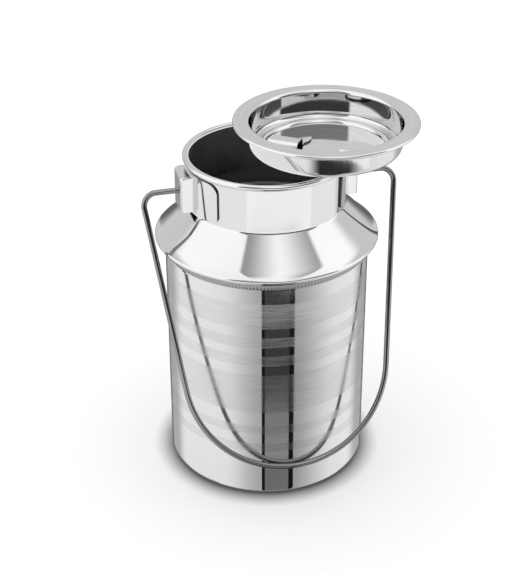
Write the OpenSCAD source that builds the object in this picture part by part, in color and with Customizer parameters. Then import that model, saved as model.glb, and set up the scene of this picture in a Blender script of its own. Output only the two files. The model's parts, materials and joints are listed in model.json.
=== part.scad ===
// Two-litre milk can of polished stainless steel sheet.
// The can stands on z = 0 with its axis on Z. X is the pivot axis of the bail, and -Y is the front.
// The lid lies loose on the mouth, to the right of the can's axis.

/* [Body] */
// Outer radius of the body
body_r = 62.5; // [55:0.5:70]
// Height of the body's upper edge
body_h = 152.6; // [145:0.2:153]
// Radius of the corner between wall and base
base_corner = 5; // [3:0.5:8]
// Height of the stiffening ring pressed up into the base
base_ring_h = 1.5; // [0.8:0.1:3]
// Radius of the middle of that ring
base_ring_r = 46; // [40:0.5:48]
// Thickness of all the drawn sheet
sheet_t = 0.6; // [0.5:0.05:0.8]

/* [Collar] */
// Outer radius of the neck
neck_r = 47.4; // [44:0.2:49]
// Outer radius of the bead at the foot of the shoulder
bead_r = 68.5; // [67:0.1:71]
// Height of the bead's middle
bead_z = 156; // [155:0.1:158]
// Outer radius of the bead's round edge
bead_round = 1.6; // [1.3:0.1:2.2]
// Lower edge of the skirt that laps over the body
skirt_z = 147.5; // [145:0.1:150]
// Radius of the bend between neck and shoulder
neck_bend = 3; // [2:0.5:6]
// Height of the middle of the rolled mouth
mouth_z = 206.8; // [204:0.1:210]
// Outer radius of the rolled mouth's section
roll_r = 1.85; // [1.5:0.05:2.2]

/* [Ears] */
// Height of the pivot holes
pivot_z = 189; // [186:0.5:191]
// Distance from the can's axis to the outer face of an ear
ear_x = 54.9; // [53:0.1:57]
// Width of the raised box of an ear
ear_w = 20; // [16:0.5:24]
// Top of the raised box
ear_top = 200.8; // [198:0.1:202]
// Lower edge of the raised box
ear_foot = 178.5; // [178:0.1:182]
// Thickness of the ear sheet
ear_t = 1; // [0.8:0.1:1.2]
// Half angle that the wings cover on the neck
wing_angle = 40; // [30:1:46]
// Lower edge of the wings
wing_foot = 179; // [178.8:0.1:182]
// Top of the wings
wing_top = 203.2; // [201:0.1:203.6]

/* [Bail] */
// Diameter of the wire
wire_d = 3.5; // [3:0.1:4]
// Clearance between wire and ear hole, on the radius
pivot_gap = 0.1; // [0.05:0.01:0.1]
// Half width of the bail where its legs would cross the pivot axis
bail_half = 79; // [77:0.5:84]
// Distance from the pivot axis to the middle of the grip
bail_l = 178.5; // [174:0.5:182]
// Slope of each leg towards the middle
leg_slope = 7.1; // [5:0.1:9]
// Bend radius between stub and leg
stub_bend = 8; // [6:0.5:10]
// Angle of the hanging bail from the vertical
bail_hang = 21.2; // [21:0.1:24]
// Sideways shift of the bail, within its end play
bail_shift = 2.2; // [1:0.1:2.4]

/* [Lid] */
// Place of the lid's axis along X
lid_x = 35.4; // [34:0.1:37]
// Place of the lid's axis along Y
lid_y = -4.5; // [-6:0.1:-1]
// Turn of the lid about its own axis
lid_turn = -34.8; // [-45:0.1:-25]
// Outer radius of the lid's flange
flange_r = 55.9; // [54:0.1:57]
// Outer radius of the dish just under the flange
dish_top_r = 46.35; // [45:0.05:46.4]
// Outer radius of the dish where its bottom corner starts
dish_low_r = 45.9; // [44:0.05:46]
// Height of the lid from underside to flange
lid_h = 18.3; // [14:0.1:20]
// Height of the stiffening ring in the dish floor
ring_h = 1.6; // [1:0.1:2]
// Radius of the middle of that ring
ring_r = 38.7; // [37:0.1:39]

/* [Lid lugs] */
// Width of a lug's strap
lug_w = 18.5; // [16:0.5:20]
// Depth of the curled part, front to back
curl_w = 11; // [9:0.5:12]
// Height of the curled part
curl_h = 5.5; // [5.2:0.1:7]
// Distance of each lug from the lid's middle
lug_u = 22.3; // [20:0.1:24]
// Radius of the round welded foot
foot_r = 9.8; // [9.3:0.1:10.5]
// Thickness of the lug sheet
lug_t = 0.9; // [0.8:0.1:1.2]

/* [Hidden] */
$fn = 96;

half_t = sheet_t / 2;
lap_gap = 0.1;          // between body and skirt, filled by the seam weld
weld_gap = 0.15;        // between spot-welded sheets, filled by the nuggets
rest_gap = 0.35;        // between the lid and the mouth it lies on
nugget_d = 4.5;
head_d = 6;             // upset head at each end of the bail
head_t = 1.2;
head_gap = 0.4;         // from the right head to the inside of its ear
lid_z = mouth_z + roll_r + rest_gap;
steel = [0.78, 0.79, 0.8];
bright = [0.86, 0.87, 0.88];
dull = [0.62, 0.62, 0.63];
tall = 230;             // longer than the can is high

// Points along an arc, in degrees
function arc(c, r, a0, a1, n) = [for (i = [0:n]) c + r * [cos(a0 + (a1 - a0) * i / n),
    sin(a0 + (a1 - a0) * i / n)]];
function unit(v) = v / norm(v);
function turned(v) = [-v[1], v[0]];
// Direction across a path at its point i
function across(p, i) = turned(unit(unit(p[min(i + 1, len(p) - 1)] - p[i] + [1e-9, 0])
    * (i < len(p) - 1 ? 1 : 0) + unit(p[i] - p[max(i - 1, 0)] + [1e-9, 0]) * (i > 0 ? 1 : 0)));
// Outline of a sheet of thickness t whose middle follows the path p
function sheet(p, t) = concat([for (i = [0:len(p) - 1]) p[i] + across(p, i) * t / 2],
    [for (i = [len(p) - 1:-1:0]) p[i] - across(p, i) * t / 2]);

module revolve(path, t) {
    rotate_extrude($fn = 180)
        polygon(sheet(path, t));
}

// Points of a rounded ring pressed up out of a flat floor. A lead below 1 makes its inner side steeper
function pressed_ring(r, half_w, h, n, lead = 1) = [for (i = [0:n]) [r - half_w + 2 * half_w * i / n,
    half_t + h * (1 - cos(360 * pow(i / n, lead))) / 2]];

// ---- body ----
base_ring_half = 4;
body_path = concat(
    [[0, half_t], [base_ring_r - base_ring_half - 1, half_t]],
    pressed_ring(base_ring_r, base_ring_half, base_ring_h, 14),
    arc([body_r - base_corner, base_corner], base_corner - half_t, -90, 0, 12),
    [[body_r - half_t, body_h]]);

module body_shell() {
    color(steel)
        revolve(body_path, sheet_t);
}

// ---- collar ----
skirt_mid = body_r + lap_gap + half_t;
bead_in = bead_round - half_t;
bead_c = [bead_r - bead_round, bead_z];
under_z = bead_z - bead_in;
slope_sum = bead_c[0] + bead_c[1] + bead_in * sqrt(2);
neck_mid = neck_r - half_t;
bend_z = slope_sum - neck_mid - neck_bend + neck_bend * sqrt(2);
roll_c = [neck_r - sheet_t + roll_r, mouth_z];
collar_path = concat(
    [[skirt_mid, skirt_z]],
    arc([skirt_mid + 1.4, under_z - 1.4], 1.4, 180, 90, 6),
    arc(bead_c, bead_in, -90, 45, 12),
    arc([neck_mid + neck_bend, bend_z], neck_bend, 225, 180, 8),
    [[neck_mid, mouth_z]]);

module shoulder_collar() {
    color(bright) {
        revolve(collar_path, sheet_t);
        rotate_extrude($fn = 180)
            translate(roll_c)
                difference() {
                    circle(r = roll_r, $fn = 40);
                    circle(r = roll_r - sheet_t, $fn = 40);
                }
    }
}

module mouth_rim_wire() {
    color(dull)
        rotate_extrude($fn = 180)
            translate(roll_c)
                circle(r = roll_r - sheet_t - 0.03, $fn = 40);
}

module seam_weld() {
    color(dull)
        translate([0, 0, skirt_z + 1.2])
            difference() {
                cylinder(r = body_r + lap_gap, h = 2.6, $fn = 180);
                translate([0, 0, -1])
                    cylinder(r = body_r, h = 5, $fn = 180);
            }
}

// ---- ears ----
wing_r = neck_r + weld_gap;
wing_y = wing_r * sin(wing_angle);
box_bend = 2.2;
top_corner = 6;
foot_corner = 3.5;

// Block with rounded corners that the wings are trimmed to
module side_window(y, low, high, r_high, r_low) {
    rotate([90, 0, 90])
        linear_extrude(height = 80)
            polygon(concat(
                arc([y - r_high, high - r_high], r_high, 0, 90, 8),
                arc([-y + r_high, high - r_high], r_high, 90, 180, 8),
                arc([-y + r_low, low + r_low], r_low, 180, 270, 8),
                arc([y - r_low, low + r_low], r_low, 270, 360, 8)));
}

// Plan of the raised box, which reaches into the neck
module box_plan(w, x) {
    polygon(concat([[40, -w / 2]], arc([x - box_bend, -w / 2 + box_bend], box_bend, -90, 0, 6),
        arc([x - box_bend, w / 2 - box_bend], box_bend, 0, 90, 6), [[40, w / 2]]));
}

module ear() {
    difference() {
        union() {
            intersection() {
                difference() {
                    cylinder(r = wing_r + ear_t, h = tall, $fn = 180);
                    translate([0, -ear_w / 2 + ear_t, 0])
                        cube([80, ear_w - 2 * ear_t, tall]);
                }
                side_window(wing_y, wing_foot, wing_top, top_corner, foot_corner);
            }
            translate([0, 0, ear_foot])
                linear_extrude(height = ear_top - ear_foot)
                    difference() {
                        box_plan(ear_w, ear_x);
                        box_plan(ear_w - 2 * ear_t, ear_x - ear_t);
                    }
            translate([0, 0, ear_top - ear_t])
                linear_extrude(height = ear_t)
                    box_plan(ear_w, ear_x);
        }
        cylinder(r = wing_r, h = tall, $fn = 180);
        translate([0, 0, pivot_z])
            rotate([0, 90, 0])
                cylinder(d = wire_d + 2 * pivot_gap, h = 80, $fn = 48);
    }
}

module ear_welds() {
    intersection() {
        difference() {
            cylinder(r = wing_r, h = tall, $fn = 180);
            translate([0, 0, -1])
                cylinder(r = neck_r, h = tall + 2, $fn = 180);
        }
        for (side = [-1, 1], z = [185, 197])
            rotate([0, 0, side * wing_angle * 0.65])
                translate([0, 0, z])
                    rotate([0, 90, 0])
                        cylinder(d = nugget_d, h = 60, $fn = 32);
    }
}

module left_ear() {
    color(bright)
        mirror([1, 0, 0])
            ear();
}

module right_ear() {
    color(bright)
        ear();
}

module left_ear_welds() {
    color(dull)
        mirror([1, 0, 0])
            ear_welds();
}

module right_ear_welds() {
    color(dull)
        ear_welds();
}

// ---- bail ----
arch_r = (bail_half * cos(leg_slope) - bail_l * sin(leg_slope)) / (1 - sin(leg_slope));
arch_z = -(bail_l - arch_r);
bend_end_z = -stub_bend * (1 + sin(leg_slope));
bend_x = bail_half + bend_end_z * tan(leg_slope) - stub_bend * cos(leg_slope);
leg_top = [bend_x + stub_bend * cos(leg_slope), bend_end_z];
leg_end = [arch_r * cos(leg_slope), arch_z - arch_r * sin(leg_slope)];
head_x = ear_x - ear_t - head_gap - bail_shift;

// Bent wire in the plane of X and Z
module wire_arc(c, r, a0, a1) {
    translate([c[0], 0, c[1]])
        rotate([90, 0, 0])
            rotate([0, 0, a0])
                rotate_extrude(angle = a1 - a0, $fn = 120)
                    translate([r, 0])
                        circle(d = wire_d, $fn = 32);
}

// Closes the joint between two bent stretches
module joint_ball(c) {
    translate([c[0], 0, c[1]])
        sphere(d = wire_d + 0.02, $fn = 48);
}

module bail_side() {
    translate([head_x - head_t, 0, 0])
        rotate([0, 90, 0])
            cylinder(d = head_d, h = head_t, $fn = 48);
    translate([head_x, 0, 0])
        rotate([0, 90, 0])
            cylinder(d = wire_d, h = bend_x - head_x, $fn = 32);
    joint_ball([bend_x, 0]);
    joint_ball(leg_top);
    joint_ball(leg_end);
    wire_arc([bend_x, -stub_bend], stub_bend, -leg_slope, 90);
    translate([leg_top[0], 0, leg_top[1]])
        rotate([0, 180 + leg_slope, 0])
            cylinder(d = wire_d, h = norm(leg_top - leg_end), $fn = 32);
}

module bail_wire() {
    color(dull)
        translate([bail_shift, 0, pivot_z])
            rotate([-bail_hang, 0, 0]) {
                bail_side();
                mirror([1, 0, 0])
                    bail_side();
                wire_arc([0, arch_z], arch_r, 180 + leg_slope, 360 - leg_slope);
            }
}

// ---- lid ----
ring_half = 2.6;
low_bend = 3.7;
flange_bend = 2.2;
edge_bend = 0.9;
dish_low = dish_low_r - half_t;
dish_top = dish_top_r - half_t;
flange_z = lid_h - half_t;
flange_end = flange_r - half_t - edge_bend;
lid_path = concat(
    [[0, half_t], [ring_r - ring_half - 1, half_t]],
    pressed_ring(ring_r, ring_half, ring_h, 12, 0.6),
    arc([dish_low - low_bend, half_t + low_bend], low_bend, -90, 0, 10),
    arc([dish_top + flange_bend, flange_z - flange_bend], flange_bend, 180, 90, 8),
    arc([flange_end, flange_z - edge_bend], edge_bend, 90, -70, 12));

module on_lid() {
    translate([lid_x, lid_y, lid_z])
        rotate([0, 0, lid_turn])
            children();
}

module lid_pan() {
    color(bright)
        on_lid()
            revolve(lid_path, sheet_t);
}

// ---- lid lugs: a round foot on the dish floor, curled up and over at its front ----
lug_z = sheet_t + weld_gap;
curl_front = -curl_w - 4.5;
curl_back = -4.5;
curl_bend = 2.2;
foot_v = 4.5;
foot_shift = 1.5;
lug_mid = lug_t / 2;
lug_path = concat(
    [[foot_v + foot_r + 1, lug_mid]],
    arc([curl_back - lug_mid + 1.2, lug_mid + 1.2], 1.2, 270, 180, 5),
    arc([curl_back - lug_mid - curl_bend, curl_h - lug_mid - curl_bend], curl_bend, 0, 90, 8),
    arc([curl_front + lug_mid + curl_bend, curl_h - lug_mid - curl_bend], curl_bend, 90, 180, 8),
    [[curl_front + lug_mid, 0]]);

// side is 1 for the lug whose inner end is towards +U, and -1 for the other
module lug(side) {
    translate([-side * lug_u, 0, lug_z])
        intersection() {
            rotate([90, 0, 90])
                translate([0, 0, -20])
                    linear_extrude(height = 40)
                        polygon(sheet(lug_path, lug_t));
            linear_extrude(height = 10)
                union() {
                    translate([side * foot_shift, foot_v])
                        circle(r = foot_r, $fn = 64);
                    translate([-lug_w / 2, curl_front - 1])
                        square([lug_w, foot_v - curl_front + 1]);
                }
        }
}

module left_lid_lug() {
    color(bright)
        on_lid()
            lug(1);
}

module right_lid_lug() {
    color(bright)
        on_lid()
            lug(-1);
}

module lid_lug_welds() {
    color(dull)
        on_lid()
            for (side = [-1, 1], v = [0.5, 9])
                translate([side * (lug_u - foot_shift), v, sheet_t])
                    cylinder(d = nugget_d, h = weld_gap, $fn = 32);
}

body_shell();
shoulder_collar();
mouth_rim_wire();
seam_weld();
left_ear();
right_ear();
left_ear_welds();
right_ear_welds();
bail_wire();
lid_pan();
left_lid_lug();
right_lid_lug();
lid_lug_welds();
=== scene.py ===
"""Looks of a two-litre stainless steel milk can. Lengths are millimetres unless a comment says metres."""

import json
import math

import bmesh
import bpy
from mathutils import Matrix, Vector


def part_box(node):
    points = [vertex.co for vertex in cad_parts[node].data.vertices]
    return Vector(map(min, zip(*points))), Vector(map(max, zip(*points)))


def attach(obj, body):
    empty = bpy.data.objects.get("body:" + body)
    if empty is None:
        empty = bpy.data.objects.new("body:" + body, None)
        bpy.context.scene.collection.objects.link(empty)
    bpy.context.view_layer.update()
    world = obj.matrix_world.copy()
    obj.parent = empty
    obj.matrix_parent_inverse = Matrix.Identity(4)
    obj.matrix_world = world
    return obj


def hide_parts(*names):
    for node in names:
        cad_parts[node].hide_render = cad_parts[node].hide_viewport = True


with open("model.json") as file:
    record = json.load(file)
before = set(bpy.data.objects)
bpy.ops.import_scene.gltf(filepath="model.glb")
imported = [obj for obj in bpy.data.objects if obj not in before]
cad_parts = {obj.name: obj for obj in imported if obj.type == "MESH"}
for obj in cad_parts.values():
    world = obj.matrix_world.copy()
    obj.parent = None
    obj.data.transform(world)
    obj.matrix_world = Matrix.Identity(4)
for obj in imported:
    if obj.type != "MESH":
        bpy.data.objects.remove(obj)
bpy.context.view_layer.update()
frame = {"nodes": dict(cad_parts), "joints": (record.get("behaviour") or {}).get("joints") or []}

MM = 0.001
LATHE_STEPS = 288
SHARP_ANGLE = math.radians(38)

# ---- sizes of the can, as in the CAD model ----
SHEET = 0.6
WELD_GAP = 0.15
BODY_R = 62.5
BODY_H = 152.6
BASE_CORNER = 5
BASE_RING = (46, 4, 1.5)  # middle radius, half width, height
NECK_R = 47.4
BEAD_R = 68.5
BEAD_Z = 156
BEAD_ROUND = 1.6
SKIRT_Z = 147.5
LAP_GAP = 0.1
NECK_BEND = 3
LAP_BEND = 1.4
FLARE = 32  # slope of the shoulder by the bead, in degrees, where the CAD model has 45 degrees throughout
FLARE_W = 3.6  # width over which it turns into 45 degrees
MOUTH_Z = 206.8
ROLL_R = 1.85

EAR_X = 54.9
EAR_HALF_W = 10
EAR_TOP = 200.8
EAR_FOOT = 178.5
EAR_T = 1
WING_R = NECK_R + WELD_GAP + EAR_T
WING_Y = (WING_R - EAR_T) * math.sin(math.radians(40))
WING_FOOT = 179
WING_TOP = 203.2
HOLE_R = 1.85

WIRE_R = 1.75
BAIL_HALF = 79
BAIL_L = 178.5
LEG_SLOPE = 7.1
STUB_BEND = 8
BAIL_HANG = 21.2
BAIL_SHIFT = 2.2
HEAD_INNER = 53.5  # inner face of an ear, less the head's clearance
HEAD_R = 3
HEAD_H = 1.2
HEAD_EDGE = 0.3

LID_TURN = -34.8
FLANGE_R = 55.9
DISH_TOP_R = 46.35
DISH_LOW_R = 45.9
LID_H = 18.3
LID_RING = (38.7, 2.6, 1.6)  # middle radius, half width, height
LID_RING_LEAD = 0.6

LUG_W = 18.5
CURL_W = 11
CURL_H = 5.5
LUG_U = 22.3  # a lug's middle, sideways from the lid's
LUG_T = 0.9
FOOT_R = 9.8
FOOT_V = 4.5
FOOT_SHIFT = 1.5

# ---- finish of the body: heights where satin bands begin and end ----
SATIN_BANDS = [(33.2, 39.3), (46.4, 52.5), (62.1, 89.3), (95.7, 102.8), (108.4, 115.4), (121.6, 138.3)]

# ---- camera, in degrees and metres ----
VIEW_AZIMUTH = -14.5
VIEW_ELEVATION = 29.51
VIEW_DISTANCE = 0.8813
VIEW_AIM = (-0.00155, 0.0004, 0.1155)
LENS = 87.96

# ---- light tent ----
# A turn goes round the can from the camera's side, and a rise goes up from the tent's middle, in degrees.
# TURNS and RISES give two edges and how soft each of them is. FADE gives where a change begins and ends.
TENT_R = 3.0  # metres
TENT_Z = 0.1  # metres
FADE_ABOVE = (106, 121)
ABOVE_LIGHT = (1.3, 0.75)  # in front and behind
FADE_TOP = (40, 70)
TOP_LIGHT = 1.2
FADE_BELOW = (112, 136)
BELOW_LIGHT = (1.02, 0.5)
FADE_BEHIND = (148, 162)
BEHIND_LIGHT = 0.15
FADE_HORIZON = (-4, 4)
GAP_TURNS = (-38, 74, 3, 3)
FADE_GAP_FOOT = (3, 8)
FADE_GAP_TOP = (66, 80)
SHEEN_TURNS = (-8, 52, 34, 34)
SHEEN_LIGHT = (0.38, 0.85)  # everywhere, and added within SHEEN_TURNS
FADE_SHEEN = (32, 46)
FADE_LOW_GAP = (22, 28)
LOW_GAP_LIGHT = (0.06, 0.32)
PANEL_TURNS = (-29, 67, 2, 2)
PANEL_RISES = (-25.75, -16, 0.05, 3)
PANEL_LIGHT = 1.16
PATCH_TURNS = (-20.5, 48, 11.5, 17)
FADE_PATCH = (-25.8, -25.7)
PATCH_LIGHT = 0.03
FADE_FOOT = (-70, -50)
FOOT_LIGHT = 0.35

# ---- table card ----
# A turn is where round the body the card's mirror image shows, in degrees.
CORE = (-2.7, 15.4)  # turns at which the card's dark middle begins and ends
CARD_LINES = ((-1.8, 0.85), (13.9, 1.35))  # middle and half width of its black lines
LINE_LIGHT = 0.01
NEAR_CAMERA = 5.05  # what the camera's nearness adds to a mirrored direction, in degrees
CARD_Z = 0.3

# ---- rest of the stage ----
MOUTH_LIGHT = 1.0
WORLD_LIGHT = 1.22
FLOOR_HALF = 30  # metres
CONTACT_SHADOW_REACH = 0.013  # how far the painted contact shadow darkens the floor about the can's foot, in metres
# darkest colour of the painted contact shadow on the floor
CONTACT_SHADOW_TONE = (0.16, 0.16, 0.16, 1)
FLOOR_TONE = (0.9, 0.9, 0.9, 1)


# ======================= outlines =======================

def arc(cx, cz, r, a0, a1, n):
    """Points of an arc, from a0 to a1 degrees."""
    angles = [math.radians(a0 + (a1 - a0) * i / n) for i in range(n + 1)]
    return [(cx + r * math.cos(a), cz + r * math.sin(a)) for a in angles]


def braced(path, near=0.5):
    """The path with points added by the ends of its long stretches, so that these shade as straight."""
    out = [path[0]]
    for (x0, z0), (x1, z1) in zip(path, path[1:]):
        length = math.hypot(x1 - x0, z1 - z0)
        if length > 4 * near:
            for t in (near / length, 1 - near / length):
                out.append((x0 + (x1 - x0) * t, z0 + (z1 - z0) * t))
        out.append((x1, z1))
    return out


def offset(path, distance):
    """The path moved sideways to its left by distance."""
    out = []
    for i, (x, z) in enumerate(path):
        dx = dz = 0.0
        for a, b in ((i - 1, i), (i, i + 1)):
            if a >= 0 and b < len(path):
                sx, sz = path[b][0] - path[a][0], path[b][1] - path[a][1]
                length = math.hypot(sx, sz)
                dx, dz = dx + sx / length, dz + sz / length
        length = math.hypot(dx, dz)
        out.append((x - dz / length * distance, z + dx / length * distance))
    return out


def pressed_ring(ring, floor_z, lead=1, n=24):
    """Points of a rounded ring pressed up out of a flat floor. A lead below 1 steepens its inner side."""
    middle, half, height = ring
    turns = [2 * math.pi * (i / n) ** lead for i in range(n + 1)]
    return [(middle - half + 2 * half * i / n, floor_z + height * (1 - math.cos(turn)) / 2)
            for i, turn in enumerate(turns)]


# ======================= mesh code =======================

def finish_mesh(name, bm, materials, body=None, slot=None, *nodes):
    """Turns bm into a piece that rides on body and stands for nodes. A stage piece has no body."""
    bmesh.ops.remove_doubles(bm, verts=bm.verts, dist=1e-7)
    bmesh.ops.recalc_face_normals(bm, faces=bm.faces)
    for face in bm.faces:
        face.smooth = True
    for edge in bm.edges:
        if len(edge.link_faces) == 2 and edge.calc_face_angle(0) > SHARP_ANGLE:
            edge.smooth = False
    mesh = bpy.data.meshes.new(name)
    bm.to_mesh(mesh)
    bm.free()
    for material in materials:
        mesh.materials.append(material)
    piece = bpy.data.objects.new(name, mesh)
    bpy.context.scene.collection.objects.link(piece)
    if body:
        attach(piece, body)
    if nodes:
        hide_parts(*nodes)
    return piece


def lathe(outline, flags, steps=LATHE_STEPS, ripple=None):
    """A closed outline of (radius, height) turned about Z. flags gives each outline edge's material.

    ripple says what is added to the radius, from a point's place in the outline and its angle.
    """
    bm = bmesh.new()
    rings = []
    for index, (r, z) in enumerate(outline):
        if r < 1e-6:
            rings.append([bm.verts.new((0, 0, z * MM))] * steps)
            continue
        ring = []
        for k in range(steps):
            a = 2 * math.pi * k / steps
            wide = r + (ripple(index, a) if ripple else 0)
            ring.append(bm.verts.new((wide * MM * math.cos(a), wide * MM * math.sin(a), z * MM)))
        rings.append(ring)
    for index in range(len(outline)):
        low, high = rings[index], rings[(index + 1) % len(rings)]
        for k in range(steps):
            corners = []
            for vert in (low[k], low[(k + 1) % steps], high[(k + 1) % steps], high[k]):
                if vert not in corners:
                    corners.append(vert)
            if len(corners) > 2:
                bm.faces.new(corners).material_index = flags[index]
    return bm


def spun_sheet(path, thickness, inner_material=0):
    """Sheet metal turned about Z. Its left side, seen along the path, gets inner_material."""
    path = braced(path)
    left = offset(path, thickness / 2)
    right = offset(path, -thickness / 2)
    if path[0][0] < 1e-6:
        left[0] = (0, left[0][1])
        right[0] = (0, right[0][1])
    outline = left + right[::-1]
    flags = [inner_material] * (len(left) - 1) + [0] * (len(right) + 1)
    return lathe(outline, flags)


def skin(bm, rows):
    """Fills the faces between neighbouring rows of verts."""
    for a, b in zip(rows, rows[1:]):
        for k in range(len(a) - 1):
            bm.faces.new((a[k], a[k + 1], b[k + 1], b[k]))


def grid_sheet(rows):
    """An open sheet through a grid of points."""
    bm = bmesh.new()
    skin(bm, [[bm.verts.new(Vector(p) * MM) for p in row] for row in rows])
    return bm


def face_along(bm, way, chosen):
    """Turns a sheet over if those of its faces that are chosen by their middle look away from way."""
    bmesh.ops.recalc_face_normals(bm, faces=bm.faces)
    bm.normal_update()
    if sum(f.normal.dot(way) for f in bm.faces if chosen(f.calc_center_median())) < 0:
        bmesh.ops.reverse_faces(bm, faces=bm.faces)


def thicken(bm, thickness, edge_material=0, inner_material=0):
    """Gives an open sheet its thickness, on the side away from its normals, with all its edges closed."""
    bm.normal_update()
    inner = {}
    least = 0.6  # keeps a sharp fold from throwing its inner corner far out
    for vert in list(bm.verts):
        total = sum((face.normal * face.calc_area() ** 0.25 for face in vert.link_faces), Vector())
        normal = total.normalized()
        spread = min(max(normal.dot(face.normal), least) for face in vert.link_faces)
        inner[vert] = bm.verts.new(vert.co - normal * thickness * MM / spread)
    faces = list(bm.faces)
    borders = [edge for edge in bm.edges if len(edge.link_faces) == 1]
    for face in faces:
        bm.faces.new([inner[v] for v in reversed(face.verts)]).material_index = inner_material
    for edge in borders:
        a, b = edge.verts
        bm.faces.new((a, b, inner[b], inner[a])).material_index = edge_material


def tube(points, radius, sides=24):
    """A round bar along points that lie in one plane."""
    bm = bmesh.new()
    points = [Vector(p) for p in points]
    plane = (points[len(points) // 4] - points[0]).cross(points[len(points) // 2] - points[0]).normalized()
    rings = []
    for i, point in enumerate(points):
        ahead = (points[min(i + 1, len(points) - 1)] - points[max(i - 1, 0)]).normalized()
        side = ahead.cross(plane)
        rings.append([bm.verts.new((point + (side * math.cos(2 * math.pi * k / sides)
                                             + plane * math.sin(2 * math.pi * k / sides)) * radius) * MM)
                      for k in range(sides)])
    for a, b in zip(rings, rings[1:]):
        for k in range(sides):
            bm.faces.new((a[k], a[(k + 1) % sides], b[(k + 1) % sides], b[k]))
    bm.faces.new(rings[0])
    bm.faces.new(rings[-1])
    return bm


# ======================= materials =======================

class Nodes:
    """A short way to write a material's nodes."""

    def __init__(self, tree):
        self.tree = tree

    def add(self, kind, **settings):
        node = self.tree.nodes.new(kind)
        for key, value in settings.items():
            setattr(node, key, value)
        return node

    def put(self, socket, value):
        if isinstance(value, bpy.types.NodeSocket):
            self.tree.links.new(value, socket)
        else:
            socket.default_value = value

    def place(self):
        """The place on the object, in metres."""
        return self.add("ShaderNodeTexCoord").outputs["Object"]

    def split_place(self):
        """The place on the object as x, y and z."""
        node = self.add("ShaderNodeSeparateXYZ")
        self.put(node.inputs[0], self.place())
        return node.outputs

    def join(self, *values):
        """A vector made of x, y and z."""
        node = self.add("ShaderNodeCombineXYZ")
        for socket, value in zip(node.inputs, values):
            self.put(socket, value)
        return node.outputs[0]

    def math(self, operation, *values):
        node = self.add("ShaderNodeMath", operation=operation)
        for socket, value in zip(node.inputs, values):
            self.put(socket, value)
        return node.outputs[0]

    def remap(self, value, a0, a1, b0, b1, smooth=True):
        """b0 where value is a0 or less, b1 where it is a1 or more, and between them in between."""
        node = self.add("ShaderNodeMapRange", interpolation_type="SMOOTHSTEP" if smooth else "LINEAR")
        sockets = ("Value", "From Min", "From Max", "To Min", "To Max")
        for name, item in zip(sockets, (value, a0, a1, b0, b1)):
            self.put(node.inputs[name], item)
        return node.outputs[0]

    def window(self, value, low, high, soft_low, soft_high):
        """1 between low and high, and 0 outside them, with soft edges."""
        rise = self.remap(value, low - soft_low, low + soft_low, 0.0, 1.0)
        fall = self.remap(value, high - soft_high, high + soft_high, 1.0, 0.0)
        return self.math("MULTIPLY", rise, fall)

    def blend(self, factor, a, b):
        """a where factor is 0, and b where it is 1."""
        node = self.add("ShaderNodeMix", data_type="FLOAT")
        self.put(node.inputs[0], factor)
        self.put(node.inputs[2], a)
        self.put(node.inputs[3], b)
        return node.outputs[0]

    def noise(self, vector, scale, detail=2.0):
        node = self.add("ShaderNodeTexNoise")
        self.put(node.inputs["Vector"], vector)
        self.put(node.inputs["Scale"], scale)
        self.put(node.inputs["Detail"], detail)
        return node.outputs["Fac"]


def new_material(name):
    """A new material and its nodes."""
    material = bpy.data.materials.new(name)
    material.use_nodes = True
    return material, Nodes(material.node_tree)


def cylinder_coords(n, around, along):
    """Coordinates that run round Z and up it, stretched by around and along, and the height."""
    x, y, z = n.split_place()
    angle = n.math("ARCTAN2", y, x)
    turned = n.join(n.math("MULTIPLY", n.math("COSINE", angle), around),
                    n.math("MULTIPLY", n.math("SINE", angle), around),
                    n.math("MULTIPLY", z, along))
    return turned, z


def spin_marks(n, middle):
    """Fine rings round a spun piece's middle, for its flat faces."""
    x, y = n.split_place()[:2]
    outward, sideways = 700.0, 14.0  # how fine the marks are, a metre
    away_x = n.math("SUBTRACT", x, middle[0])
    away_y = n.math("SUBTRACT", y, middle[1])
    radius = n.math("SQRT", n.math("ADD", n.math("POWER", away_x, 2.0), n.math("POWER", away_y, 2.0)))
    ring = n.join(n.math("MULTIPLY", radius, outward),
                  n.math("MULTIPLY", away_x, sideways),
                  n.math("MULTIPLY", away_y, sideways))
    return n.noise(ring, scale=1.0, detail=3.0)


def satin_mask(n, height, bands):
    """1 on the bands and 0 between them."""
    soft = 0.25 * MM
    mask = None
    for low, high in bands:
        band = n.window(height, low * MM, high * MM, soft, soft)
        mask = band if mask is None else n.math("ADD", mask, band)
    return mask


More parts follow.
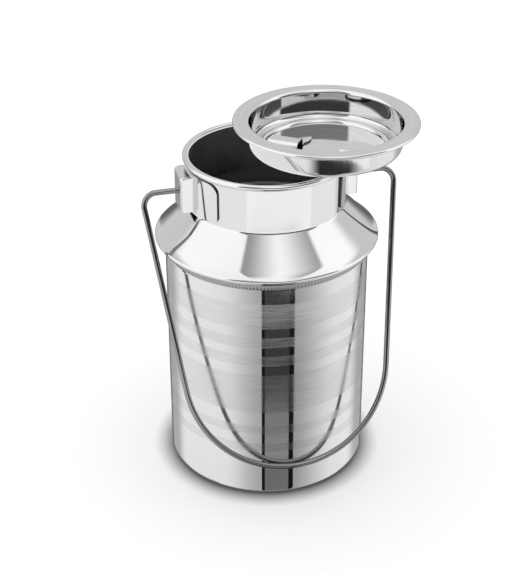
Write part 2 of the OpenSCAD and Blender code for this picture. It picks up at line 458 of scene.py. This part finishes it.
def steel(name, color, rough_low, rough_high, bump, lines=0.0, anisotropic=0.0, satin=None, spun_about=None):
    """Stainless steel whose roughness wanders between two values, with faint waves and lines.

    satin is the brushed bands' heights, their roughness and how deep their lines are.
    spun_about is the middle of a spun piece.
    """
    material, n = new_material(name)
    shader = material.node_tree.nodes["Principled BSDF"]
    shader.inputs["Metallic"].default_value = 1.0
    shader.inputs["Anisotropic"].default_value = anisotropic
    shader.inputs["Anisotropic Rotation"].default_value = 0.25
    place = n.place()
    smudge = n.noise(place, scale=28.0, detail=4.0)
    turned, height = cylinder_coords(n, around=1.2, along=900.0)
    brushed = n.noise(turned, scale=3.0, detail=3.0)
    rough = n.remap(smudge, 0.35, 0.7, rough_low, rough_high)
    tone = n.remap(smudge, 0.3, 0.75, 0.96, 1.02)
    grain = n.math("MULTIPLY", brushed, lines)
    if spun_about:
        spin = spin_marks(n, spun_about)
        grain = n.math("ADD", grain, n.math("MULTIPLY", spin, 0.5))
        tone = n.math("MULTIPLY", tone, n.remap(spin, 0.3, 0.7, 0.93, 1.02))
    if satin:
        bands, satin_rough, satin_lines = satin
        mask = satin_mask(n, height, bands)
        rough = n.blend(mask, rough, n.remap(brushed, 0.3, 0.7, satin_rough * 0.85, satin_rough * 1.15))
        tone = n.math("MULTIPLY", tone, n.blend(mask, 1.0, n.remap(brushed, 0.3, 0.7, 0.84, 0.97)))
        grain = n.math("MULTIPLY", brushed, n.blend(mask, lines, satin_lines))
    tint = n.add("ShaderNodeMix", data_type="RGBA", blend_type="MULTIPLY")
    tint.inputs[0].default_value = 1.0
    tint.inputs[6].default_value = (*color, 1.0)
    n.put(tint.inputs[7], tone)
    n.put(shader.inputs["Base Color"], tint.outputs[2])
    n.put(shader.inputs["Roughness"], rough)
    waves = n.noise(place, scale=9.0, detail=1.0)
    bumper = n.add("ShaderNodeBump")
    bumper.inputs["Strength"].default_value = bump
    bumper.inputs["Distance"].default_value = 0.3 * MM
    n.put(bumper.inputs["Height"], n.math("ADD", grain, waves))
    n.put(shader.inputs["Normal"], bumper.outputs[0])
    if anisotropic:
        tangent = n.add("ShaderNodeTangent", direction_type="RADIAL", axis="Z")
        n.put(shader.inputs["Tangent"], tangent.outputs[0])
    return material


POLISHED = (0.74, 0.745, 0.75)
SATIN_ROUGH = 0.145
SATIN_LINES = 0.2
body_steel = steel("body_steel", POLISHED, 0.04, 0.08, bump=0.12, lines=0.05, anisotropic=1.0,
                   satin=(SATIN_BANDS, SATIN_ROUGH, SATIN_LINES))
mirror_steel = steel("mirror_steel", POLISHED, 0.04, 0.09, bump=0.05, lines=0.1)
lid_low, lid_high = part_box("lid_pan")
lid_steel = steel("lid_steel", POLISHED, 0.03, 0.07, bump=0.03, lines=0.05,
                  spun_about=(lid_low + lid_high) / 2)
# the inside: rough, unpolished steel, whose darker tone is painted shade for the inside of the can
rough_shaded_inner_steel = steel("rough_shaded_inner_steel", (0.38, 0.377, 0.37), 0.3, 0.4, bump=0.05, lines=0.3)
# the wire's dark tone is painted shade, standing in for the dark reflections along it
wire_steel = steel("wire_steel", (0.3, 0.3, 0.3), 0.06, 0.12, bump=0.05)
weld_steel = steel("weld_steel", (0.36, 0.36, 0.36), 0.25, 0.4, bump=0.2)
# near black steel on the sheets' cut edges and the lugs' under sides: painted shade for the dark outlines
# and the dark inside of the curls
edge_shade_steel = steel("edge_shade_steel", (0.1, 0.1, 0.1), 0.25, 0.4, bump=0.15)


# ======================= the can =======================

def body_shell():
    """The drawn body with its base."""
    half = SHEET / 2
    path = [(0, half), (BASE_RING[0] - BASE_RING[1] - 1, half)]
    path += pressed_ring(BASE_RING, half)
    path += arc(BODY_R - BASE_CORNER, BASE_CORNER, BASE_CORNER - half, -90, 0, 20)
    path += [(BODY_R - half, BODY_H)]
    bm = spun_sheet(path, SHEET, inner_material=1)
    finish_mesh("body_metal", bm, [body_steel, rough_shaded_inner_steel], "can", "body_steel", "body_shell")


def collar():
    """Skirt, bead, shoulder, neck and rolled mouth, in one sheet."""
    half = SHEET / 2
    skirt = BODY_R + LAP_GAP + half
    bead_in = BEAD_ROUND - half
    bead_x = BEAD_R - BEAD_ROUND
    under = BEAD_Z - bead_in
    neck = NECK_R - half
    roll_x = NECK_R - SHEET + ROLL_R
    path = [(skirt, SKIRT_Z)]
    path += arc(skirt + LAP_BEND, under - LAP_BEND, LAP_BEND, 180, 90, 10)
    path += arc(bead_x, BEAD_Z, bead_in, -90, 90 - FLARE, 20)
    path += flare_to(path[-1], FLARE, FLARE_W)
    slope_sum = path[-1][0] + path[-1][1]
    bend_z = slope_sum - neck - NECK_BEND + NECK_BEND * math.sqrt(2)
    path += arc(neck + NECK_BEND, bend_z, NECK_BEND, 225, 180, 12)
    path += arc(roll_x, MOUTH_Z, ROLL_R - half, 180, -128, 44)
    bm = spun_sheet(path, SHEET, inner_material=1)
    roll_foot = MOUTH_Z - 2.5
    for face in bm.faces:
        if face.calc_center_median().z / MM > roll_foot:
            face.material_index = 0
    finish_mesh("collar_metal", bm, [mirror_steel, rough_shaded_inner_steel], "can", "mirror_steel", "shoulder_collar")


def flare_to(start, low_slope, width, n=10):
    """Points from the bead up to the straight shoulder, whose slope is 45 degrees."""
    x, z = start
    out = []
    for i in range(n):
        slope = math.radians(low_slope + (45 - low_slope) * (i + 0.5) / n)
        x, z = x - width / n, z + width / n * math.tan(slope)
        out.append((x, z))
    return out


def seam_bead():
    """The row of small marks that the seam welder leaves round the skirt."""
    count, steps_each = 190, 8
    sunk, raised, crown, depth = 0.15, 0.2, 0.1, 0.2
    inner = BODY_R + LAP_GAP + SHEET - sunk
    outer = inner + raised
    low, high = SKIRT_Z + 1.1, SKIRT_Z + 4.1
    middle, half = (low + high) / 2, (high - low) / 2
    outline = [(inner, low), (inner, high)]
    for degrees in range(90, -91, -18):
        a = math.radians(degrees)
        outline.append((outer + crown * math.cos(a), middle + half * math.sin(a)))

    def ripple(index, angle):
        if index < 3 or index > len(outline) - 2:
            return 0
        return depth * abs(math.cos(count * angle / 2))

    bm = lathe(outline, [0] * len(outline), steps=count * steps_each, ripple=ripple)
    finish_mesh("seam_bead", bm, [weld_steel], "can", "weld_steel", "seam_weld")


def neck_x(y):
    """How far out an ear's wings lie on the neck, at y."""
    return math.sqrt(WING_R ** 2 - y ** 2)


def ear_plan():
    """Half plan of an ear as (y, y when pressed back on the neck, x), from the middle outwards."""
    bend, fillet, lean = 2.4, 1.4, 0.14
    flat = EAR_HALF_W - bend
    narrowed, spread = 0.92, 0.12  # for the pressed back y: the front's share, and the side's steps
    fillet_x = fillet * 0.92
    fillet_from = neck_x(EAR_HALF_W + fillet) + fillet_x
    side = arc(flat, EAR_X - bend, bend, 90, 0, 12)[1:]
    for i in range(1, 9):
        x = EAR_X - bend + (fillet_from - EAR_X + bend) * i / 8
        side.append((EAR_HALF_W + lean * i / 8, x))
    for i in range(1, 9):
        a = math.radians(90 * i / 8)
        y = EAR_HALF_W + lean + fillet * (1 - math.cos(a))
        side.append((y, neck_x(y) + fillet_x * (1 - math.sin(a))))
    out = [(flat * i / 24, flat * i / 24 * narrowed, EAR_X) for i in range(25)]
    out += [(y, flat * narrowed + spread * k, x) for k, (y, x) in enumerate(side, 1)]
    start = out[-1][0]
    for i in range(1, 61):
        y = start + (WING_Y - start) * (1 - (1 - i / 60) ** 1.5)
        out.append((y, y, neck_x(y)))
    return out


def ear_levels():
    """Heights up an ear, each with the share of the box's depth that is left there."""
    top, depth, bend, fillet = EAR_TOP, 6.6, 1.8, 0.8
    out = [(EAR_FOOT + (top - bend - EAR_FOOT) * i / 44, 1.0) for i in range(45)]
    for i in range(1, 11):
        a = math.radians(85 * i / 10)
        out.append((top - bend + bend * math.sin(a), 1 - bend * (1 - math.cos(a)) / depth))
    roof_from, roof_to = 1 - bend * 0.91 / depth, fillet * 0.8 / depth
    for i in range(1, 9):
        out.append((top + 0.02 * i, roof_from * (1 - i / 8) + roof_to * i / 8))
    roof_z, share = out[-1]
    for i in range(1, 9):
        a = math.radians(90 * i / 8)
        out.append((roof_z + fillet * (1 - math.cos(a)) + 0.1 * i / 8, share * (1 - math.sin(a))))
    last = out[-1][0]
    out += [(last + (WING_TOP - last) * i / 4, 0.0) for i in range(1, 5)]
    return out


def corner_cut(from_end, radius):
    """How much a rounded corner takes off an edge, at a distance from its end."""
    if from_end >= radius:
        return 0.0
    return radius - math.sqrt(max(radius ** 2 - (radius - from_end) ** 2, 0))


def ear(name, side, *nodes):
    """A pressed ear on the side of the neck that side's sign gives."""
    top_corner, foot_corner, foot_ease = 6, 3.5, 2
    plan = ear_plan()
    levels = ear_levels()
    columns = [(-y, -base, x) for y, base, x in plan[:0:-1]] + plan
    low_all, high_all = levels[0][0], levels[-1][0]
    rows = []
    for z, share in levels:
        row = []
        for y, base, x in columns:
            from_end = WING_Y - abs(y)
            wing = min(max((abs(y) - EAR_HALF_W) / foot_ease, 0), 1)
            high = WING_TOP - corner_cut(from_end, top_corner)
            low = EAR_FOOT + wing * (WING_FOOT - EAR_FOOT) + corner_cut(from_end, foot_corner)
            height = low + (z - low_all) / (high_all - low_all) * (high - low)
            across = base + (y - base) * share
            row.append((side * (neck_x(across) + (x - neck_x(y)) * share), across, height))
        rows.append(row)
    bm = grid_sheet(rows)
    face_along(bm, Vector((side, 0, 0)), lambda middle: abs(middle.y) < 5 * MM)
    drill(bm, Vector((0, 0, frame["joints"][0]["pos_m"][2])), HOLE_R * MM)
    # the ear's cut edges get the near black steel: painted shade for its dark outline
    thicken(bm, EAR_T, edge_material=1)
    finish_mesh(name, bm, [mirror_steel, edge_shade_steel], "can", "mirror_steel", *nodes)


def drill(bm, centre, radius):
    """Cuts a round hole along X through a sheet's front and pulls its border to the circle."""
    def away(vert):
        return math.hypot(vert.co.y - centre.y, vert.co.z - centre.z)

    cut, pulled = radius * 0.93, radius * 1.6
    inside = [f for f in bm.faces if min(away(v) for v in f.verts) < cut]
    bmesh.ops.delete(bm, geom=inside, context="FACES")
    for vert in bm.verts:
        if vert.is_boundary and away(vert) < pulled:
            k = radius / away(vert)
            vert.co.y = centre.y + (vert.co.y - centre.y) * k
            vert.co.z = centre.z + (vert.co.z - centre.z) * k


# ======================= the bail =======================

def bail_head():
    """The upset head on an end of the bail, upright on the origin."""
    outline = [(0, 0), (HEAD_R - HEAD_EDGE, 0), (HEAD_R, HEAD_EDGE), (HEAD_R, HEAD_H - HEAD_EDGE),
               (HEAD_R - HEAD_EDGE, HEAD_H), (0, HEAD_H)]
    outline = braced(outline, near=0.1)
    return lathe(outline, [0] * len(outline), steps=48)


def bail():
    """The bent wire with its two heads, at the angle where it hangs."""
    slope = math.radians(LEG_SLOPE)
    arch_r = (BAIL_HALF * math.cos(slope) - BAIL_L * math.sin(slope)) / (1 - math.sin(slope))
    arch_z = -(BAIL_L - arch_r)
    bend_end = -STUB_BEND * (1 + math.sin(slope))
    bend_x = BAIL_HALF + bend_end * math.tan(slope) - STUB_BEND * math.cos(slope)
    head_x = HEAD_INNER - BAIL_SHIFT
    half = [(head_x - HEAD_H, 0), (head_x - HEAD_H / 2, 0), (head_x, 0)]
    half += [(head_x + (bend_x - head_x) * i / 8, 0) for i in range(1, 8)]
    half += arc(bend_x, -STUB_BEND, STUB_BEND, 90, -LEG_SLOPE, 24)
    top, end = half[-1], (arch_r * math.cos(slope), arch_z - arch_r * math.sin(slope))
    half += [(top[0] + (end[0] - top[0]) * i / 20, top[1] + (end[1] - top[1]) * i / 20)
             for i in range(1, 20)]
    half += arc(0, arch_z, arch_r, -LEG_SLOPE, -90, 60)
    flat = half + [(-x, z) for x, z in half[-2::-1]]
    bm = tube([(x, 0, z) for x, z in flat], WIRE_R)
    for sign in (-1, 1):
        head = bail_head()
        start = sign * (head_x - HEAD_H / 2) - HEAD_H / 2
        head.transform(Matrix.Translation((start * MM, 0, 0)) @ Matrix.Rotation(math.radians(90), 4, "Y"))
        copy = bpy.data.meshes.new("head")
        head.to_mesh(copy)
        head.free()
        bm.from_mesh(copy)
        bpy.data.meshes.remove(copy)
    pivot = frame["joints"][0]["pos_m"]
    bm.transform(Matrix.Translation((BAIL_SHIFT * MM, pivot[1], pivot[2]))
                 @ Matrix.Rotation(-math.radians(BAIL_HANG), 4, "X"))
    finish_mesh("bail_handle", bm, [wire_steel], "bail", "wire_steel", "bail_wire")


# ======================= the lid =======================

def lid_place():
    """Where the lid lies: about the CAD lid's middle, on its lowest point, turned as it is."""
    low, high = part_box("lid_pan")
    return (Matrix.Translation(((low.x + high.x) / 2, (low.y + high.y) / 2, low.z))
            @ Matrix.Rotation(math.radians(LID_TURN), 4, "Z"))


def lid_pan():
    """The dished lid, from the middle of its floor to the edge of its flange."""
    half = SHEET / 2
    low_bend, flange_bend, edge_bend = 3.7, 2.2, 0.9
    dish_low, dish_top = DISH_LOW_R - half, DISH_TOP_R - half
    flange_z = LID_H - half
    flange_end = FLANGE_R - half - edge_bend
    path = [(0, half), (LID_RING[0] - LID_RING[1] - 1, half)]
    path += pressed_ring(LID_RING, half, lead=LID_RING_LEAD)
    path += arc(dish_low - low_bend, half + low_bend, low_bend, -90, 0, 16)
    path += arc(dish_top + flange_bend, flange_z - flange_bend, flange_bend, 180, 90, 14)
    path += arc(flange_end, flange_z - edge_bend, edge_bend, 90, -70, 18)
    bm = spun_sheet(path, SHEET)
    bm.transform(lid_place())
    finish_mesh("lid_metal", bm, [lid_steel], "lid", "mirror_steel", "lid_pan")


def lug_path():
    """The lug's middle line as (distance back, height), from the foot's far end to the tip of the curl."""
    mid = LUG_T / 2
    back, bend, foot_bend = -4.5, 2.2, 1.2
    front = back - CURL_W
    path = [(FOOT_V + FOOT_R * math.cos(math.radians(a)), mid) for a in range(2, 150, 4)]
    path += arc(back - mid + foot_bend, mid + foot_bend, foot_bend, 270, 180, 8)
    path += arc(back - mid - bend, CURL_H - mid - bend, bend, 0, 90, 12)
    path += arc(front + mid + bend, CURL_H - mid - bend, bend, 90, 180, 12)
    path += [(front + mid, z) for z in (2, 1.2, 0.5, 0.05)]
    return path


def lug(name, side, *nodes):
    """A curled strap on the lid's floor. side is 1 for the left one and -1 for the right one."""
    across = 16
    path = lug_path()
    outer = offset(path, -LUG_T / 2)
    rows = []
    for (v, z), (outer_v, outer_z) in zip(path, outer):
        left, right = -LUG_W / 2, LUG_W / 2
        bulge = math.sqrt(max(FOOT_R ** 2 - (v - FOOT_V) ** 2, 0))
        foot_left, foot_right = side * FOOT_SHIFT - bulge, side * FOOT_SHIFT + bulge
        if v > FOOT_V:
            left, right = foot_left, foot_right
        elif z < LUG_T:
            left, right = min(left, foot_left), max(right, foot_right)
        height = outer_z + SHEET + WELD_GAP
        rows.append([(left - side * LUG_U + (right - left) * i / across, outer_v, height)
                     for i in range(across + 1)])
    bm = grid_sheet(rows)
    face_along(bm, Vector((0, 0, 1)), lambda middle: middle.y > 2 * MM)
    # the lug's cut edges and under side get the near black steel: painted shade for its dark outline and the
    # shade inside the curl
    thicken(bm, LUG_T, edge_material=1, inner_material=1)
    bm.transform(lid_place())
    finish_mesh(name, bm, [mirror_steel, edge_shade_steel], "lid", "mirror_steel", *nodes)


# ======================= CAD nodes that stay =======================

def paint_hidden_nodes():
    """Gives the CAD pieces that are hardly seen a steel of their own."""
    finishes = {"mouth_rim_wire": wire_steel, "left_ear_welds": weld_steel, "right_ear_welds": weld_steel,
                "lid_lug_welds": weld_steel}
    for name, material in finishes.items():
        node = frame["nodes"][name]
        node.data.materials.clear()
        node.data.materials.append(material)


# ======================= stage =======================

def floor():
    """A pale floor with a painted contact shadow: its colour darkens close to whatever stands on it."""
    bm = bmesh.new()
    bmesh.ops.create_grid(bm, x_segments=8, y_segments=8, size=FLOOR_HALF)
    material, n = new_material("pale_floor")
    shader = material.node_tree.nodes["Principled BSDF"]
    # painted contact shadow: ambient occlusion mixes a dark tone into the floor's colour near the can
    contact_shadow = n.add("ShaderNodeAmbientOcclusion", samples=12)
    contact_shadow.inputs["Distance"].default_value = CONTACT_SHADOW_REACH
    shade = n.add("ShaderNodeMix", data_type="RGBA")
    n.put(shade.inputs[0], n.remap(contact_shadow.outputs["AO"], 0.45, 1.0, 0.0, 1.0, smooth=False))
    shade.inputs[6].default_value = CONTACT_SHADOW_TONE
    shade.inputs[7].default_value = FLOOR_TONE
    n.put(shader.inputs["Base Color"], shade.outputs[2])
    shader.inputs["Roughness"].default_value = 0.8
    shader.inputs["Specular IOR Level"].default_value = 0.0
    piece = finish_mesh("floor", bm, [material])
    piece.visible_glossy = False


def only_reflected(piece):
    """Makes a piece of the stage show in reflections and nowhere else."""
    for rays in ("visible_camera", "visible_diffuse", "visible_shadow", "visible_transmission",
                 "visible_volume_scatter"):
        setattr(piece, rays, False)


def glowing(name):
    """A material that only glows, its nodes, and the socket for how strongly."""
    material, n = new_material(name)
    material.cycles.emission_sampling = "NONE"
    material.node_tree.nodes.clear()
    glow = n.add("ShaderNodeEmission")
    out = n.add("ShaderNodeOutputMaterial")
    n.put(out.inputs["Surface"], glow.outputs[0])
    return material, n, glow.inputs["Strength"]


def tent():
    """A white light tent that only reflections see, with a darker gap in front between its halves."""
    bm = bmesh.new()
    bmesh.ops.create_uvsphere(bm, u_segments=48, v_segments=24, radius=TENT_R)
    material, n, strength = glowing("tent_light")
    x, y, z = n.split_place()
    turn = n.math("DEGREES", n.math("ARCTAN2", x, n.math("MULTIPLY", y, -1.0)))
    rise = n.math("DEGREES", n.math("ARCSINE", n.math("DIVIDE", z, TENT_R)))
    aside = n.math("ABSOLUTE", turn)
    above = n.remap(aside, *FADE_ABOVE, *ABOVE_LIGHT)
    above = n.blend(n.remap(rise, *FADE_TOP, 0.0, 1.0), above, TOP_LIGHT)
    below = n.remap(aside, *FADE_BELOW, *BELOW_LIGHT)
    below = n.blend(n.remap(aside, *FADE_BEHIND, 0.0, 1.0), below, BEHIND_LIGHT)
    light = n.blend(n.remap(rise, *FADE_HORIZON, 0.0, 1.0), below, above)
    # the gap between the tent's halves
    gap = n.math("MULTIPLY", n.window(turn, *GAP_TURNS), n.remap(rise, *FADE_GAP_FOOT, 0.0, 1.0))
    gap = n.math("MULTIPLY", gap, n.remap(rise, *FADE_GAP_TOP, 1.0, 0.0))
    base, added = SHEEN_LIGHT
    sheen = n.math("MULTIPLY_ADD", n.window(turn, *SHEEN_TURNS), added, base)
    low_gap = n.remap(rise, *FADE_LOW_GAP, *LOW_GAP_LIGHT)
    light = n.blend(gap, light, n.blend(n.remap(rise, *FADE_SHEEN, 0.0, 1.0), low_gap, sheen))
    # what the neck and the lid's wall see below them
    panel = n.math("MULTIPLY", n.window(turn, *PANEL_TURNS), n.window(rise, *PANEL_RISES))
    light = n.blend(panel, light, PANEL_LIGHT)
    patch = n.math("MULTIPLY", n.window(turn, *PATCH_TURNS), n.remap(rise, *FADE_PATCH, 1.0, 0.0))
    light = n.blend(n.remap(rise, *FADE_FOOT, 1.0, 0.0), light, FOOT_LIGHT)
    light = n.blend(patch, light, PATCH_LIGHT)
    n.put(strength, light)
    piece = finish_mesh("tent", bm, [material])
    piece.rotation_euler.z = math.radians(VIEW_AZIMUTH)
    piece.location.z = TENT_Z
    only_reflected(piece)


def step(x, x0, x1):
    """0 before x0 and 1 after x1, turning smoothly between them."""
    t = min(max((x - x0) / (x1 - x0), 0), 1)
    return t * t * (3 - 2 * t)


def card_light(turn, reach):
    """The card's light at a turn and at a reach, which is how far out from the body's foot it lies."""
    if turn < CORE[0]:
        light = 1.0 - 0.5 * step(turn, -26, -2)
    elif turn > CORE[1]:
        light = 0.38 + 0.62 * step(turn, 12, 44)
    elif any(abs(turn - middle) < half for middle, half in CARD_LINES):
        light = LINE_LIGHT
    else:
        light = 0.05 + 0.2 * (1 - step(reach, 90, 110))
        light += 0.06 * (1 - step(reach, 50, 70))
        light -= 0.12 * (1 - step(reach, 25, 45))
    return light


def table_card():
    """A grey and black card on the table before the can, which gives the body its dark middle.

    Each of its rows is the line on the table that the body mirrors at one turn.
    """
    inner, nudge = BODY_R - 0.5, 0.04
    turns = [-30 + 0.5 * i for i in range(160)]
    edges = list(CORE) + [middle + sign * half for middle, half in CARD_LINES for sign in (-1, 1)]
    turns = sorted(turns + [edge + sign * nudge for edge in edges for sign in (-1, 1)])
    reaches = [1.5 * i for i in range(60)] + [90 + 6 * i for i in range(34)]
    bm = bmesh.new()
    rows = []
    for turn in turns:
        a = math.radians(turn)
        out = math.radians(2 * turn + NEAR_CAMERA * math.sin(a))
        foot = Vector((inner * math.sin(a), -inner * math.cos(a), 0))
        way = Vector((math.sin(out), -math.cos(out), 0))
        rows.append([bm.verts.new((foot + way * reach) * MM) for reach in reaches])
    skin(bm, rows)
    material, n, strength = glowing("card_light")
    n.put(strength, n.add("ShaderNodeAttribute", attribute_name="light").outputs["Fac"])
    lights = [card_light(turn, reach) for turn in turns for reach in reaches]
    mesh = bpy.data.meshes.new("table_card")
    bm.to_mesh(mesh)
    bm.free()
    mesh.materials.append(material)
    mesh.attributes.new("light", "FLOAT", "POINT").data.foreach_set("value", lights)
    piece = bpy.data.objects.new("table_card", mesh)
    bpy.context.scene.collection.objects.link(piece)
    piece.rotation_euler.z = math.radians(VIEW_AZIMUTH)
    piece.location.z = CARD_Z * MM
    only_reflected(piece)


def mouth_card():
    """A pale card in the mouth, which the lid's wall mirrors in place of a bright inside of the neck."""
    bm = bmesh.new()
    bmesh.ops.create_circle(bm, cap_ends=True, segments=64, radius=(NECK_R - SHEET - 0.3) * MM)
    material, _, strength = glowing("mouth_card_light")
    strength.default_value = MOUTH_LIGHT
    piece = finish_mesh("mouth_card", bm, [material])
    piece.location.z = (MOUTH_Z - 0.5) * MM
    only_reflected(piece)


def studio():
    """A plain white world."""
    scene = bpy.context.scene
    scene.world = bpy.data.worlds.new("studio")
    scene.world.use_nodes = True
    background = scene.world.node_tree.nodes["Background"]
    background.inputs["Color"].default_value = (1, 1, 1, 1)
    background.inputs["Strength"].default_value = WORLD_LIGHT
    scene.view_settings.view_transform = "Standard"


def camera():
    """A camera at VIEW_DISTANCE from VIEW_AIM."""
    data = bpy.data.cameras.new("camera")
    data.lens = LENS
    data.sensor_width = 36
    data.clip_end = 100
    eye = bpy.data.objects.new("camera", data)
    azimuth, elevation = math.radians(VIEW_AZIMUTH), math.radians(VIEW_ELEVATION)
    back = Vector((math.sin(azimuth) * math.cos(elevation), -math.cos(azimuth) * math.cos(elevation),
                   math.sin(elevation)))
    eye.location = Vector(VIEW_AIM) + back * VIEW_DISTANCE
    eye.rotation_euler = back.to_track_quat("Z", "Y").to_euler()
    bpy.context.scene.collection.objects.link(eye)
    bpy.context.scene.camera = eye


camera()
studio()
floor()
tent()
table_card()
mouth_card()
body_shell()
collar()
seam_bead()
ear("left_ear_metal", -1, "left_ear")
ear("right_ear_metal", 1, "right_ear")
bail()
lid_pan()
lug("left_lug_metal", 1, "left_lid_lug")
lug("right_lug_metal", -1, "right_lid_lug")
paint_hidden_nodes()
